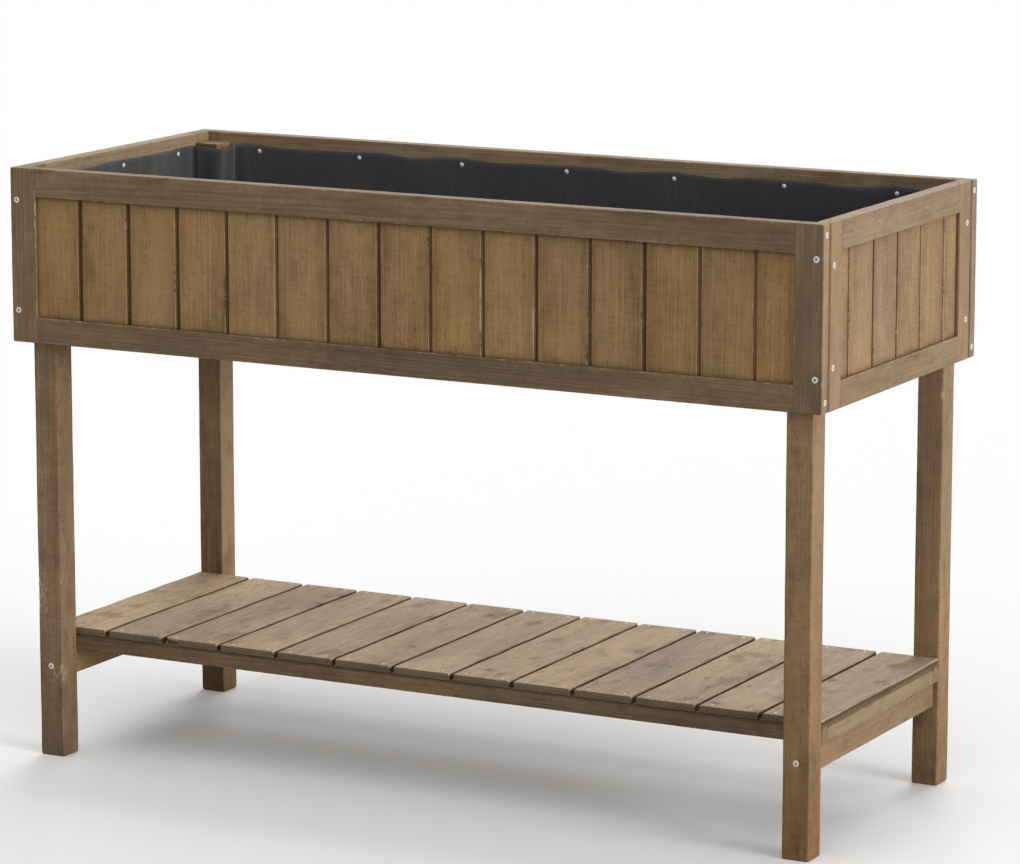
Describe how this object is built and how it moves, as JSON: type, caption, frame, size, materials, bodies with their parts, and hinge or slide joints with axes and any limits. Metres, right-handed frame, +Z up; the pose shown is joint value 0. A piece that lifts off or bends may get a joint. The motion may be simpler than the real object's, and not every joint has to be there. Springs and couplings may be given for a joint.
{
  "type": "raised garden bed",
  "caption": "Wooden raised garden bed: a panelled, fabric-lined planting box on square legs with a slatted storage shelf below.",
  "frame": {"origin": "on the ground at the middle of the footprint", "axes": "+X along the length to the right as seen from the front, +Y to the rear, +Z up"},
  "size_m": [1.1, 0.456, 0.75],
  "materials": {
    "board_wood": "brown-stained sawn softwood",
    "frame_wood": "brown-stained planed softwood",
    "leg_wood": "brown-stained planed softwood",
    "shelf_wood": "thinly stained sawn softwood",
    "floor_wood": "bare sawn softwood",
    "liner_fabric": "black non-woven",
    "zinc": "zinc plated",
    "nail_steel": "bright drawn"
  },
  "bodies": {
    "root": {"bearer_screws": "zinc", "corner_screws": "zinc", "floor_bearer_front": "floor_wood", "floor_bearer_rear": "floor_wood", "floor_boards": "floor_wood", "frame_screws": "zinc", "front_boards": "board_wood", "front_bottom_rail": "frame_wood", "front_left_stile": "frame_wood", "front_right_stile": "frame_wood", "front_top_rail": "frame_wood", "left_end_boards": "board_wood", "left_end_bottom_rail": "frame_wood", "left_end_front_stile": "frame_wood", "left_end_rear_stile": "frame_wood", "left_end_top_rail": "frame_wood", "leg_front_left": "leg_wood", "leg_front_right": "leg_wood", "leg_rear_left": "leg_wood", "leg_rear_right": "leg_wood", "leg_screws": "zinc", "liner": "liner_fabric", "liner_tacks": "nail_steel", "rear_boards": "board_wood", "rear_bottom_rail": "frame_wood", "rear_left_stile": "frame_wood", "rear_right_stile": "frame_wood", "rear_top_rail": "frame_wood", "right_end_boards": "board_wood", "right_end_bottom_rail": "frame_wood", "right_end_front_stile": "frame_wood", "right_end_rear_stile": "frame_wood", "right_end_top_rail": "frame_wood", "shelf_batten_left": "shelf_wood", "shelf_batten_right": "shelf_wood", "shelf_cleat_front": "shelf_wood", "shelf_cleat_rear": "shelf_wood", "shelf_rail_front_left": "shelf_wood", "shelf_rail_front_right": "shelf_wood", "shelf_rail_rear_left": "shelf_wood", "shelf_rail_rear_right": "shelf_wood", "shelf_screws": "zinc", "shelf_slat_01": "shelf_wood", "shelf_slat_02": "shelf_wood", "shelf_slat_03": "shelf_wood", "shelf_slat_04": "shelf_wood", "shelf_slat_05": "shelf_wood", "shelf_slat_06": "shelf_wood", "shelf_slat_07": "shelf_wood", "shelf_slat_08": "shelf_wood", "shelf_slat_09": "shelf_wood", "shelf_slat_10": "shelf_wood", "shelf_slat_11": "shelf_wood", "shelf_slat_12": "shelf_wood", "shelf_slat_13": "shelf_wood", "shelf_stretcher_left": "shelf_wood", "shelf_stretcher_right": "shelf_wood", "slat_nails": "nail_steel", "stretcher_screws": "zinc"}
  },
  "joints": []
}
